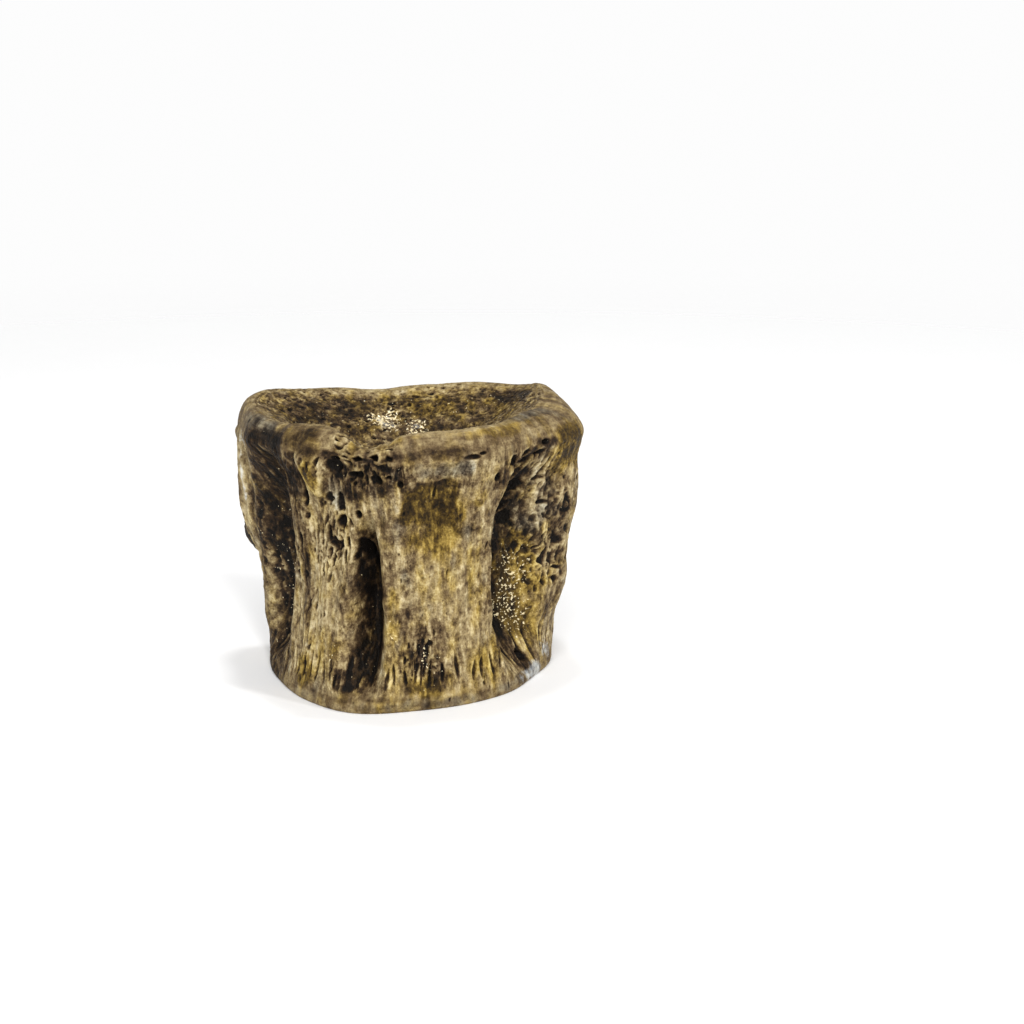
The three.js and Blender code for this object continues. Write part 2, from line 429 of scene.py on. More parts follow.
PATCHES = {
    # The dark patches mix real dark staining with painted shade: the hollows and pits, under the left lip and
    # the rim, under the brow's overhang, along the right pit's ridge and on the cup's left wall.
    Stain.DARK: (
        Patch(-78, 13, 19, 14.5, 0.95, edge=0.35),
        Patch(-58, 22.8, 10, 2.8, 1.0, lean=1.2, edge=0.35),
        Patch(-69, 24.9, 17, 3.1, 1.0, edge=0.45),
        Patch(-66, 22.0, 12, 3.0, 0.6, edge=0.9),
        Patch(-49.5, 22.6, 3.5, 1.8, 0.9, edge=0.5),
        Patch(-52, 25.0, 5, 0.9, 0.8, lean=-0.5, edge=0.5),
        Patch(-20, 25.9, 7, 0.7, 0.8, edge=0.7),
        Patch(-11, 24.9, 5, 0.7, 0.8, edge=0.7),
        Patch(-7, 23.4, 3, 0.9, 0.7, edge=0.7),
        Patch(-52, 14, 4, 8, 0.7, lean=-0.5, edge=0.8),
        Patch(-20, 12, 6.5, 7.5, 1.0, lean=-0.2),
        Patch(-20, 5.4, 8, 5),
        Patch(-27, 3.0, 6, 1.9, 0.8, edge=0.4),
        Patch(-34, 19.2, 14, 3.6, 0.4, edge=0.9),
        Patch(-3, 8.5, 5, 2.6, 0.6, edge=0.8),
        Patch(1, 5.6, 9.5, 4.2, 0.85, edge=0.9),
        Patch(9, 3.0, 6, 1.6, 0.6, edge=0.8),
        Patch(-22, 24, 8, 1.5, 0.6),
        Patch(-12, 23.4, 5, 1.6, 0.5),
        Patch(-5, 24, 4.5, 1.8, 0.5),
        Patch(-33, 25.8, 5, 1.0, 0.9),
        Patch(-26, 21.9, 6, 1.5, 0.7, edge=0.8),
        Patch(8, 22.7, 18, 0.8, 0.8),
        Patch(63, 25.6, 6, 0.9),
        Patch(57, 24.6, 8, 1.1),
        Patch(48, 23.9, 7, 1.2, 0.9),
        Patch(38, 23.0, 6, 1.6, 0.7, edge=0.8),
        Patch(58, 20.8, 8, 2.8, 1.0, lean=-1),
        Patch(60, 16.6, 6, 2.6, 1.0),
        Patch(49, 13, 13, 12),
        Patch(62, 2.6, 7, 1.8),
        Patch(74, 21, 5, 3, 0.5, edge=0.9),
        Patch(76, 16, 7, 5, 0.5, edge=0.9),
        Patch(82, 15, 6, 6, 0.5, edge=0.9),
        Patch(-108, 16, 6, 8, 1.0, edge=0.4),
        Patch(-82, 3.4, 19, 3.4, 0.95, edge=0.8),
        Patch(-20, 24.6, 17, 3.4, 0.3, edge=0.9),
        Patch(12, 26.2, 40, 1.0, 0.5, edge=0.9),
        Patch(-30, 24.8, 5, 1.4, 1.0, edge=0.4),
        Patch(-46, 28.0, 14, 1.8, 0.2, edge=0.9),
        Patch(-128, 34.4, 34, 3.2, 0.4, edge=0.8),
        Patch(132, 32.4, 22, 1.8, 0.6, edge=0.8),
    ),
    Stain.BROWN: (
        Patch(-41, 26.2, 10, 1.3, 0.9, edge=0.8),
        Patch(-54, 26.9, 17, 1.8, 1.0, edge=0.8),
        Patch(-44, 28.3, 15, 1.9, 1.0, edge=0.9),
        Patch(-12, 26.2, 17, 1.5, 0.9, edge=0.9),
        Patch(2, 4.6, 15, 4.5, 0.7, edge=0.9),
        Patch(-88, 14, 8, 10, 0.3, edge=0.9),
        Patch(-23, 4, 12, 4, 0.8),
        Patch(-20, 23.4, 17, 3.2, 0.9, edge=0.6),
        Patch(44, 24.4, 22, 1.8, 0.8, edge=0.8),
        Patch(-62, 27.2, 20, 2.0, 0.6, edge=0.9),
        Patch(34, 4.0, 13, 4, 0.45, edge=0.9),
        Patch(-41, 23.4, 6, 1.6, 0.5, edge=0.9),
        Patch(70, 28.5, 25, 2.0, 0.5, edge=0.9),
        Patch(38, 28.0, 26, 1.6, 0.6, edge=0.9),
        Patch(80, 6, 14, 4, 0.5, edge=0.9),
    ),
    Stain.OCHRE: (
        Patch(-52, 27.6, 18, 2.2, 0.6, edge=0.9),
        Patch(38, 28.4, 24, 1.3, 0.9),
        Patch(80, 24.6, 13, 4.0, 0.9, edge=0.9),
        Patch(34, 4.6, 15, 5, 1.0, edge=0.9),
        Patch(28, 12, 7, 9, 0.7, edge=0.9),
        Patch(27, 10.4, 5, 2, 0.9, edge=0.9),
        Patch(9, 17.2, 18, 2.6, 0.7, edge=0.9),
        Patch(-42, 23.2, 6, 2.0, 1.0, edge=0.8),
        Patch(-38, 6, 12, 5, 0.5, edge=0.9),
        Patch(-9, 7, 4, 7, 0.8, edge=0.9),
        Patch(0, 28.8, 22, 1.0, 0.7, edge=0.9),
        Patch(72, 9, 10, 5, 0.7, edge=0.9),
        Patch(76, 7, 13, 6, 0.7, edge=0.9),
        Patch(12, 14, 20, 8, 0.35, edge=0.9),
        Patch(170, 34.5, 50, 4, 0.5, edge=0.9),
        Patch(55, 29.0, 30, 2.0, 0.5, edge=0.9),
    ),
    Stain.OLIVE: (
        Patch(-43, 24, 5, 1.2, 0.6, edge=0.9),
        Patch(9, 20.6, 19, 2.7, 1.0, edge=0.5),
        Patch(8, 17.5, 16, 3.4, 0.55, edge=0.9),
        Patch(66, 9.5, 8, 7.5, 0.9, edge=0.5),
        Patch(-48, 2.8, 10, 2, 0.7, edge=0.9),
        Patch(3, 2.6, 13, 1.8, 0.8, edge=0.9),
        Patch(79, 24.4, 11, 4.2, 0.95, edge=0.9),
        Patch(-5, 0.8, 55, 1.0, 0.35, edge=0.9),
    ),
    Stain.GREY: (
        Patch(11, 24.3, 20, 1.3, 0.75, edge=0.95),
        Patch(-76, 28.2, 24, 2.6, 0.9, edge=0.9),
        Patch(-5, 18.6, 5, 2, 0.8, edge=0.9),
        Patch(-4, 13.6, 5, 2.4, 0.6, edge=0.9),
        Patch(24, 17.6, 4, 1.6, 0.7, edge=0.9),
        Patch(70, 18, 10, 6, 0.6, edge=0.9),
        Patch(64, 29.4, 30, 1.0, 0.8, edge=0.9),
        Patch(44, 0.9, 22, 0.9, 0.7, edge=0.9),
        Patch(-33, 21.5, 7, 2.2, 0.7, edge=0.9),
        Patch(0, 0.8, 60, 0.9, 0.65, edge=0.9),
    ),
    Stain.PALE: (
        Patch(-40.5, 21.6, 3, 1.0, 0.9, edge=0.6),
        Patch(66, 9.5, 8, 7, 0.7),
        Patch(-42, 9, 13, 9, 0.9, edge=0.9),
        Patch(-33, 18.5, 12, 4.5, 0.7, edge=0.9),
        Patch(74, 13, 10, 8, 0.3, edge=0.9),
        Patch(10, 13.6, 22, 6, 0.5, edge=0.7),
        Patch(28, 6, 14, 6, 0.6, edge=0.9),
        Patch(-5, 0.9, 70, 1.2, 0.5, edge=0.7),
        Patch(10, 1.4, 45, 1.0, 0.8, edge=0.9),
        Patch(20, 29.4, 50, 1.8, 0.7, edge=0.9),
        Patch(-100, 20, 3, 8, 0.8, edge=0.7),
        # These two cup patches are painted highlight: the white reflection on the cup's damp far wall.
        Patch(-163, 36.0, 13, 2.2, 1.0, edge=0.8),
        Patch(179, 37.0, 12, 1.6, 1.0, edge=0.9),
        Patch(180, 31.0, 75, 1.3, 1.0, edge=0.6),
    ),
    # Painted reflection: the bluish-white sheen of the bright surroundings along the left strip, on the foot
    # and on the cup's damp far wall.
    Stain.BLUE: (
        Patch(-98.6, 20.5, 1.5, 7.5, 0.8, edge=0.9),
        Patch(64, 0.7, 22, 1.3, 0.8, edge=0.9),
        Patch(82, 2.0, 9, 2.2, 0.75, edge=0.9),
        Patch(-95, 24.6, 4, 2.4, 0.9, edge=0.8),
        Patch(-92, 1.2, 12, 1.2, 0.6, edge=0.9),
        Patch(-163, 36.2, 15, 2.2, 0.55, edge=0.9),
        Patch(179, 37.2, 12, 1.4, 0.6, edge=0.9),
    ),
    Stain.WET: (
        Patch(66, 9, 9, 6.5, 1.0),
        Patch(3, 5, 10, 4, 0.8, edge=0.9),
        Patch(-84, 11, 10, 8, 0.8, edge=0.9),
        Patch(-9, 7.5, 6, 3, 0.8, edge=0.9),
        Patch(-35, 5, 5, 3, 0.6, edge=0.9),
        Patch(-164, 35.8, 16, 2.6, 1.0),
        Patch(178, 37, 14, 2, 0.9),
    ),
    Stain.POROUS: (
        Patch(-38, 17, 16, 6, 0.8),
        Patch(-44, 8, 15, 7, 0.6, edge=0.9),
        Patch(73, 15, 14, 10, 0.85),
        Patch(-24, 24.4, 28, 2.0, 0.8, edge=0.5),
        Patch(48, 24.4, 22, 1.6, 0.7, edge=0.8),
        Patch(1.5, 5.2, 11, 4.5, 0.9),
        Patch(-80, 12, 20, 12, 0.8),
    ),
    Stain.NET: (
        Patch(-34, 18.2, 13, 4.6, 1.0),
        Patch(-56, 14, 6, 9, 0.9),
        Patch(62, 20, 11, 5, 0.95),
        Patch(-18, 24.6, 20, 2.4, 0.75, edge=0.9),
        Patch(50, 24.4, 20, 1.6, 0.9),
        Patch(-26, 2.8, 10, 1.8, 0.5),
        Patch(2, 5.4, 8, 3.4, 0.9, edge=0.8),
        Patch(82, 15, 11, 9, 0.8),
        Patch(72, 17, 8, 6, 0.7),
    ),
}

PORES = (
    Pore(-30.5, 24.9, 0.90, 0.80, 0.7),
    Pore(-23.0, 19.9, 0.50, 0.52, 0.8),
    Pore(-37.5, 17.4, 0.30, 1.20, 0.7, 0.05),
    Pore(-44.0, 17.5, 0.26, 1.10, 0.6, 0.1),
    Pore(-22.5, 16.0, 0.40, 1.50, 0.9, -0.15),
    Pore(-29.5, 15.4, 0.24, 0.90, 0.5),
    Pore(-48.0, 21.0, 0.35, 1.30, 0.7, 0.15),
    Pore(-31.0, 25.6, 0.65, 0.42, 0.8),
    Pore(-22.5, 24.1, 0.85, 0.42, 0.7, 0.3),
    Pore(-13.5, 23.6, 0.45, 0.60, 0.6, -0.3),
    Pore(-5.0, 23.2, 0.38, 0.34, 0.45),
    Pore(24.0, 25.7, 0.80, 0.34, 0.4, 0.1),
    Pore(27.5, 26.0, 0.50, 0.22, 0.3, 0.2),
    Pore(63.0, 25.7, 0.80, 0.42, 0.8),
    Pore(61.0, 24.7, 0.80, 0.40, 0.8),
    Pore(54.5, 24.0, 0.90, 0.45, 0.8),
    Pore(46.0, 23.6, 0.60, 0.60, 0.7),
    Pore(36.0, 23.2, 0.45, 0.60, 0.5),
    Pore(60.0, 21.0, 0.80, 0.90, 0.9),
    Pore(68.0, 21.6, 0.45, 0.30, 0.6),
    Pore(72.0, 18.8, 0.60, 0.40, 0.7),
    Pore(62.0, 17.4, 0.70, 0.90, 0.9),
    Pore(64.0, 2.6, 0.65, 0.70, 1.3),
    Pore(88.0, 20.5, 0.50, 0.40, 0.6),
    Pore(112.0, 15.0, 0.50, 0.70, 0.7),
    Pore(146.0, 12.0, 0.45, 0.90, 0.7),
    Pore(-160.0, 9.0, 0.50, 0.80, 0.7),
    Pore(-122.0, 6.0, 0.45, 0.70, 0.6),
)


@dataclass(frozen=True)
class Places:
    """Where the skin's points lie, in millimetres, and their shares of its zones, from 0 to 1.

    ring is the way up the skin, and grain runs across, across and along the fibres. edge is the foot's
    rounded edge, stand is 0 on the ring that the bone stands on, and broken is the crumbly break in the rim.
    """

    x: np.ndarray
    y: np.ndarray
    z: np.ndarray
    ring: np.ndarray
    grain: tuple[np.ndarray, np.ndarray, np.ndarray]
    cup: np.ndarray
    lip: np.ndarray
    wall: np.ndarray
    edge: np.ndarray
    stand: np.ndarray
    broken: np.ndarray


class Rings:
    """The skin's rings, gathered zone by zone from the middle of the lower hollow."""

    def __init__(self, columns: int) -> None:
        """Starts with no rings.

        Args:
            columns: The number of points in a ring.
        """
        self.columns = columns
        self.along: list[np.ndarray] = []
        self.grids: dict[str, list[np.ndarray]] = {"radius": [], "z": [], "out_r": [], "out_z": []}

    def add(self, along: np.ndarray, radius: np.ndarray, z: np.ndarray, tilt: np.ndarray) -> None:
        """Adds one zone.

        Args:
            along: Each ring's way up the skin, in millimetres.
            radius: The points' radii, in millimetres.
            z: Their heights, in millimetres.
            tilt: How far the outward direction leans up from level, in degrees.
        """
        self.along.append(along)
        lean = np.radians(tilt)
        for name, values in (("radius", radius), ("z", z), ("out_r", np.cos(lean)), ("out_z", np.sin(lean))):
            self.grids[name].append(np.broadcast_to(values, (len(along), self.columns)))

    def joined(self, name: str) -> np.ndarray:
        """One grid over all zones."""
        return np.concatenate(self.grids[name])


@dataclass
class Centrum:
    """The bone itself: a spool with a cone-shaped hollow in each end, sculpted in millimetres.

    Each wave round the wall is a height, its bumps round the bone and their start, and its bends up the wall
    and their start. Each wave of the crest is a height, its bumps and their start, and each bump of the crest
    is an angle, a half width in degrees and a rise.
    """

    height: float = 28.0
    shoulder_height: float = 25.2
    foot_rise: float = 1.3
    foot_width: float = 1.7
    edge_width: float = 0.5
    upper_cup_depth: float = 11.5
    lower_cup_depth: float = 10.5
    cup_power: float = 1.2
    cup_tilt: float = 40.0
    waist_depth: float = 1.7
    top_tilt: float = 0.018
    lip_run: float = 5.0
    cup_run: float = 18.0
    mean_radius: float = 15.9
    ridge_middle: float = 12.5
    offset: tuple[float, float] = (0.55, -0.24)
    rib_height: float = 0.18
    growth_height: float = 0.14
    upper_growths: int = 11
    lower_growths: int = 9
    columns: int = 1024
    foot_radii: tuple[float, ...] = (
        15.2, 14.4, 14.0, 13.6, 14.7, 15.5, 15.8, 14.8, 14.0, 14.0, 15.2, 16.5, 15.8, 15.4, 16.1, 16.8,
    )
    wall_radii: tuple[float, ...] = (
        15.3, 14.9, 14.7, 15.6, 17.8, 18.0, 18.9, 17.2, 15.6, 15.7, 17.6, 18.2, 17.8, 16.6, 15.2, 15.1,
    )
    crest_radii: tuple[float, ...] = (
        13.6, 12.7, 12.1, 12.0, 12.9, 14.8, 17.4, 15.9, 14.2, 14.0, 16.1, 17.8, 16.0, 14.3, 13.2, 13.7,
    )
    wall_waves: tuple[tuple[float, ...], ...] = (
        (0.14, 5, 1, 0.3, 0),
        (0.12, 9, 0, 0.45, 1),
        (0.08, 15, 2, 0.7, 2),
    )
    crest_waves: tuple[tuple[float, float, float], ...] = ((0.12, 7, 0), (0.08, 12, 1))
    crest_bumps: tuple[tuple[float, float, float], ...] = (
        (-20, 16, -1.0),
        (-48, 18, 0.25),
        (178, 60, -0.35),
        (-116, 30, 0.8),
        (112, 30, 0.6),
    )
    flap_angle: float = -40.0
    flap_tip: float = 21.0
    flap_brow: float = 25.4
    flap_height: float = 0.55
    strip_angle: float = -98.0
    strip_height: float = 0.25
    break_angle: float = -20.0
    break_half: float = 9.0
    break_low: float = 23.0
    hidden_angle: float = 92.0
    slot_depth: float = 0.3
    slot_step: float = 3.7
    wall_middle: float = 16.0

    def wall_radius(self, angle: np.ndarray, z: np.ndarray) -> np.ndarray:
        """The side wall's radius, with its hollows and swellings.

        Args:
            angle: The angles, in degrees.
            z: The heights, in millimetres.

        Returns:
            The radii, in millimetres.
        """
        u = z / self.shoulder_height
        share = smooth(u)
        radius = outline(self.foot_radii, angle) * (1 - share) + outline(self.wall_radii, angle) * share
        radius = radius - self.waist_depth * (1 - (2 * u - 1) ** 2)
        a = np.radians(angle)
        rib = 26 * a + 1.6 * np.sin(3 * a + 0.2 * z) + np.sin(0.3 * z + 2 * np.sin(a))
        waves = self.rib_height * np.sin(rib)
        for rise, bumps, start, bends, begin in self.wall_waves:
            waves = waves + rise * np.sin(bumps * a + start) * np.cos(bends * z + begin)
        radius = radius + waves * np.sin(math.pi * np.minimum(u, 1))
        for form in HOLLOWS:
            radius = radius - form.depth * form.reach(angle, z)
        for form in SWELLINGS:
            radius = radius + form.depth * form.reach(angle, z)
        return radius

    def crest_height(self, angle: np.ndarray, radius: np.ndarray) -> np.ndarray:
        """The height of the upper rim's crest.

        Args:
            angle: The angles, in degrees.
            radius: The crest's radii at those angles, in millimetres.

        Returns:
            The heights, in millimetres.
        """
        a = np.radians(angle)
        z = self.height + self.top_tilt * radius * np.sin(a)
        for rise, bumps, start in self.crest_waves:
            z = z + rise * np.sin(bumps * a + start)
        for middle, half, rise in self.crest_bumps:
            z = z + rise * (1 - smooth(np.abs(turn(angle, middle)) / half))
        return z

    def growth(self, share: np.ndarray, rings: int) -> np.ndarray:
        """How far a cup's growth rings stand out.

        Args:
            share: The share of the way from the cup's rim to its middle.
            rings: The number of ups and downs.

        Returns:
            The rises, in millimetres.
        """
        return self.growth_height * np.cos(math.pi * rings * share) * np.sin(math.pi * share)

    def warp(self, angle: np.ndarray, z: np.ndarray) -> tuple[np.ndarray, np.ndarray]:
        """Moves places a little, so that the edges of ridges and hollows are as ragged as real ones.

        Args:
            angle: The angles, in degrees.
            z: The heights, in millimetres.

        Returns:
            The moved angles and heights.
        """
        a = np.radians(angle)
        x, y = self.wall_middle * np.sin(a), self.wall_middle * np.cos(a)
        hold = smooth(z / 2.5) * smooth((self.shoulder_height - z) / 2.5)
        sideways = 1.2 * Grain(11).at(x / 2.2, y / 2.2, z / 4.5)
        sideways = sideways + 0.8 * Grain(12).at(x / 0.9, y / 0.9, z / 1.8)
        upright = 0.8 * Grain(13).at(x / 2.0, y / 2.0, z / 3.0)
        return angle + hold * sideways, z + hold * upright

    def skin(self) -> tuple[Skin, np.ndarray, np.ndarray]:
        """Lays out the skin's rings and columns.

        Returns:
            The skin, and for each point the outward direction's radial and upright shares.
        """
        angle = np.arange(self.columns) * FULL_TURN / self.columns
        row = angle[None, :]
        rings = Rings(self.columns)
        foot = outline(self.foot_radii, row) - self.edge_width
        self.add_underside(rings, foot)
        self.add_side(rings, foot, row)
        self.add_top(rings, row)
        skin = Skin(angle, np.concatenate(rings.along), rings.joined("radius"), rings.joined("z"))
        return skin, rings.joined("out_r"), rings.joined("out_z")

    def add_underside(self, rings: Rings, foot: np.ndarray) -> None:
        """Adds the lower hollow and the flat ring that the bone stands on.

        Args:
            rings: The rings so far.
            foot: The flat ring's outer radius at each column, in millimetres.
        """
        inner = foot - self.foot_width
        t = np.linspace(0.004, 1, Zone.LOWER_CUP.value, endpoint=False)[:, None]
        cup = self.lower_cup_depth * (1 - t) ** self.cup_power - self.growth(1 - t, self.lower_growths)
        way = -self.foot_width - self.cup_run * (1 - t[:, 0])
        rings.add(way, inner * t, cup, np.full_like(t, self.cup_tilt - 170))
        t = np.linspace(0, 1, Zone.FOOT.value)[:, None]
        way = -self.foot_width * (1 - t[:, 0])
        rings.add(way, inner + self.foot_width * t, np.zeros_like(t), np.full_like(t, -90.0))

    def add_side(self, rings: Rings, foot: np.ndarray, row: np.ndarray) -> None:
        """Adds the foot's rounded edge and the side wall.

        Args:
            rings: The rings so far.
            foot: The flat ring's outer radius at each column, in millimetres.
            row: The columns' angles, in degrees.
        """
        t = np.linspace(0, 1, Zone.EDGE.value + 1)[1:, None]
        up = self.foot_rise * (1 - np.cos(t * math.pi / 2))
        wall = self.wall_radius(row, up)
        rings.add(up[:, 0] + 0.001, foot + (wall - foot) * np.sin(t * math.pi / 2), up, 90 * (t - 1))
        t = np.linspace(0, 1, Zone.WALL.value + 1)[1:, None]
        up = self.foot_rise + (self.shoulder_height - self.foot_rise) * t
        rings.add(up[:, 0], self.wall_radius(*self.warp(row, up)), up, np.zeros_like(t))

    def add_top(self, rings: Rings, row: np.ndarray) -> None:
        """Adds the rim's rounded lip and the upper hollow.

        Args:
            rings: The rings so far.
            row: The columns' angles, in degrees.
        """
        t = np.linspace(0, 1, Zone.LIP.value + 1)[1:, None]
        crest = outline(self.crest_radii, row)
        top = self.crest_height(row, crest)
        shoulder = rings.grids["radius"][-1][-1:]
        lip = shoulder + (crest - shoulder) * t**1.6
        up = self.shoulder_height + (top - self.shoulder_height) * np.sin(t * math.pi / 2)
        rings.add(self.shoulder_height + self.lip_run * t[:, 0], lip, up, 90 * t)
        t = np.linspace(0, 1, Zone.UPPER_CUP.value + 1)[1:-1, None]
        floor = self.height - self.upper_cup_depth
        way = self.shoulder_height + self.lip_run + self.cup_run * t[:, 0]
        up = floor + (top - floor) * (1 - t**self.cup_power) + self.growth(t, self.upper_growths)
        rings.add(way, crest * (1 - t), up, 90 + self.cup_tilt * smooth(t / 0.12))

    def flow(self, skin: Skin) -> tuple[np.ndarray, np.ndarray, np.ndarray]:
        """Where each point lies in the grain of the bone, whose fibres spread over the ends of each ridge.

        Args:
            skin: The skin.

        Returns:
            The three coordinates across, across and along the fibres, in millimetres.
        """
        spread = ((skin.z - self.ridge_middle) / self.ridge_middle) ** 2
        angle = np.broadcast_to(skin.angle[None, :], skin.z.shape).copy()
        for ridge, half in RIDGES:
            away = turn(skin.angle[None, :], ridge)
            angle -= 0.34 * spread * away * (1 - smooth(np.abs(away) / half))
        a = np.radians(angle)
        return self.mean_radius * np.sin(a), self.mean_radius * np.cos(a), skin.z

    def places(self, skin: Skin) -> Places:
        """Finds where the skin's points lie.

        Args:
            skin: The skin.

        Returns:
            Their places and zones.
        """
        ring = skin.along[:, None]
        rim = self.shoulder_height + self.lip_run
        radians = np.radians(skin.angle)[None, :]
        cup = smooth((ring - rim + 0.4) / 1.2) + smooth((-self.foot_width - ring + 0.3) / 0.8)
        lip = smooth((ring - self.shoulder_height + 0.5) / 1.5) * (1 - cup)
        broken = 1 - smooth((np.abs(turn(skin.angle, self.break_angle)) - self.break_half) / 8)[None, :]
        return Places(
            x=skin.radius * np.sin(radians),
            y=-skin.radius * np.cos(radians),
            z=skin.z,
            ring=ring,
            grain=self.flow(skin),
            cup=cup,
            lip=lip,
            wall=(1 - cup) * (1 - lip),
            edge=smooth((2.2 - ring) / 1.2) * (1 - cup),
            stand=smooth((skin.z - 0.25) / 0.8) + smooth((-self.foot_width - ring) / 0.5),
            broken=broken * smooth((ring - self.break_low) / 2) * (1 - smooth((ring - rim - 1.2) / 2)),
        )

    def stain(self, skin: Skin, at: Places, blot: np.ndarray) -> None:
        """Paints the stains and, by the hollows' depth, their dark staining and painted shade; on the back,
        out of view, it paints by chance.

        Args:
            skin: The skin.
            at: Its places.
            blot: Noise that makes the stains' edges uneven.
        """
        x, y, z, masks = at.x, at.y, at.z, skin.masks
        deep = np.zeros(z.shape, np.float32)
        for form in HOLLOWS:
            deep = np.maximum(deep, form.depth / 3.6 * form.reach(skin.angle[None, :], z))
        deep = deep * at.wall
        # Darker and browner by the hollows' depth: partly the hollows' real staining, partly painted shade.
        masks[Stain.DARK] += np.clip(smooth((deep - 0.35 + 0.3 * blot) / 0.5) * 0.9, 0, 1)
        masks[Stain.BROWN] += 0.6 * smooth((deep - 0.2 + 0.35 * blot) / 0.6)
        hidden = smooth((np.abs(turn(skin.angle, 0.0)) - self.hidden_angle) / 14)[None, :] * at.wall
        masks[Stain.PALE] += hidden * smooth(0.5 - deep + 0.8 * blot) * 0.8
        masks[Stain.OCHRE] += hidden * smooth(Grain(22).layered(x / 3, y / 3, z / 5) * 2 - 0.4) * 0.8
        masks[Stain.POROUS] += hidden * smooth(Grain(23).layered(x / 4, y / 4, z / 6) * 2) + 0.22 * at.wall
        masks[Stain.NET] += hidden * smooth(Grain(24).layered(x / 4, y / 4, z / 6) * 2.4 - 0.5)
        for stain, patches in PATCHES.items():
            for patch in patches:
                skin.paint(stain, patch)
        masks[Stain.DARK] *= 1 - 0.85 * masks[Stain.OLIVE]

    def raise_texture(self, skin: Skin, at: Places) -> None:
        """Raises the fibres, furrows, leaves, growth lines and crumbs, by up to 0.15 mm each.

        Args:
            skin: The skin.
            at: Its places.
        """
        x, y, z, ring = at.x, at.y, at.z, at.ring
        fx, fy, fz = at.grain
        masks = skin.masks
        bow = 0.5 * Grain(30).at(x / 1.6, y / 1.6, z / 2.5)
        strand = Grain(31).strands(fx / 0.85 + bow, fy / 0.85 - bow, fz / 3.2)
        fibre = Grain(29).strands(fx / 0.42 + bow, fy / 0.42 - bow, fz / 1.6)
        thread = Grain(32).at(fx / 0.24, fy / 0.24, fz / 0.9)
        furrow = Grain(33).layered(fx / 1.7, fy / 1.7, fz / 7.0, 2)
        lump = Grain(34).layered(x / 1.5, y / 1.5, z / 1.9)
        crumb = Grain(35).layered(x / 0.42, y / 0.42, z / 0.5)
        leaf = Grain(36).layered(x / 4.0, y / 4.0, z / 0.34, 2)
        growth = Grain(37).layered(x / 4.0, y / 4.0, ring / 0.5, 2)
        wrinkle = Grain(28).strands(x / 1.3 + bow, y / 1.3 - bow, ring / 0.42)
        rough = 0.30 + 0.70 * np.clip(masks[Stain.POROUS] - 0.25 + masks[Stain.NET] + masks[Stain.DARK], 0, 1)
        fibrous = 0.08 * strand + 0.07 * fibre + 0.05 * thread + 0.07 * crumb
        skin.lift += at.wall * at.stand * (rough * fibrous + 0.08 * furrow + 0.06 * lump)
        skin.lift += at.edge * at.stand * (0.08 * leaf + 0.04 * lump)
        skin.lift += at.lip * (0.05 * growth + 0.05 * lump + 0.03 * crumb)
        skin.lift += at.cup * (0.04 * growth + 0.02 * wrinkle + 0.15 * crumb + 0.07 * lump)

    def raise_forms(self, skin: Skin, at: Places) -> None:
        """Raises the crumbs of the broken rim, the pointed flap beside it and the narrow strip at the left.

        Args:
            skin: The skin.
            at: Its places.
        """
        chips = Grain(38).layered(at.x / 1.1, at.y / 1.1, at.z / 0.9)
        skin.lift += at.broken * (0.50 * chips - 0.12)
        skin.masks[Stain.PALE] = np.maximum(skin.masks[Stain.PALE], at.broken * smooth(2.4 * chips - 0.1))
        row = skin.angle[None, :]
        share = np.clip((at.z - self.flap_tip) / (self.flap_brow - self.flap_tip), 0, 1)
        flap = smooth((1.2 + 7.2 * share - np.abs(turn(row, self.flap_angle) + 1.5 * share)) / 1.6)
        skin.lift += self.flap_height * flap * smooth((at.z - self.flap_tip) / 0.5) * at.wall
        strip = 1 - smooth(np.abs(turn(row, self.strip_angle) + 0.1 * (at.z - 17)) / 2.2)
        skin.lift += self.strip_height * strip * smooth((at.z - 8) / 4) * at.wall

    def open_rooms(self, skin: Skin, at: Places, blot: np.ndarray) -> None:
        """Opens the rooms of the spongy bone in the wall, the broken rim and the hollows.

        Args:
            skin: The skin.
            at: Its places.
            blot: Noise that makes the rooms open unevenly.
        """
        x, y, z, ring = at.x, at.y, at.z, at.ring
        fx, fy, fz = at.grain
        bend = 0.3 * Grain(39).at(x / 0.8, y / 0.8, z / 1.2)
        side = 0.3 * Grain(40).at(x / 0.8, y / 0.8, z / 1.2 + 9)
        for seed, stain, size, stretch, depth in (
            (41, Stain.NET, 1.50, 1.35, 0.66),
            (42, Stain.POROUS, 0.62, 2.3, 0.34),
            (43, Stain.POROUS, 0.33, 2.0, 0.16),
        ):
            room, number = Cells(seed).rooms(fx / size + bend, fy / size + side, fz / (size * stretch) + bend)
            mask = np.clip(skin.masks[stain], 0, 1) * np.clip(at.wall + 0.5 * at.lip, 0, 1)
            hole = smooth((room - 0.78 + 0.68 * mask) / 0.28) * smooth(mask / 0.2)
            skin.sink_rooms(hole, number, depth, 0.45)
        room, number = Cells(48).rooms(x / 1.5 + bend, y / 1.5 + side, z / 0.75 + 2 * bend)
        hole = smooth((room - 0.62 + 0.35 * at.broken + 0.2 * blot) / 0.35) * smooth(at.broken / 0.4)
        skin.sink_rooms(hole, number, 0.65, 0.4)
        for pore in PORES:
            skin.sink(pore)
        self.cut_slots(skin)
        for seed, size, squash, depth, cover in ((46, 1.00, 0.75, 0.30, 0.36), (47, 0.55, 0.80, 0.20, 0.34)):
            room, number = Cells(seed).rooms(x / size + bend, y / size + side, ring / (size * squash) + bend)
            hole = at.cup * smooth((room - 0.80 + cover + 0.25 * blot) / 0.3)
            skin.sink_rooms(hole, number, depth, 0.4)

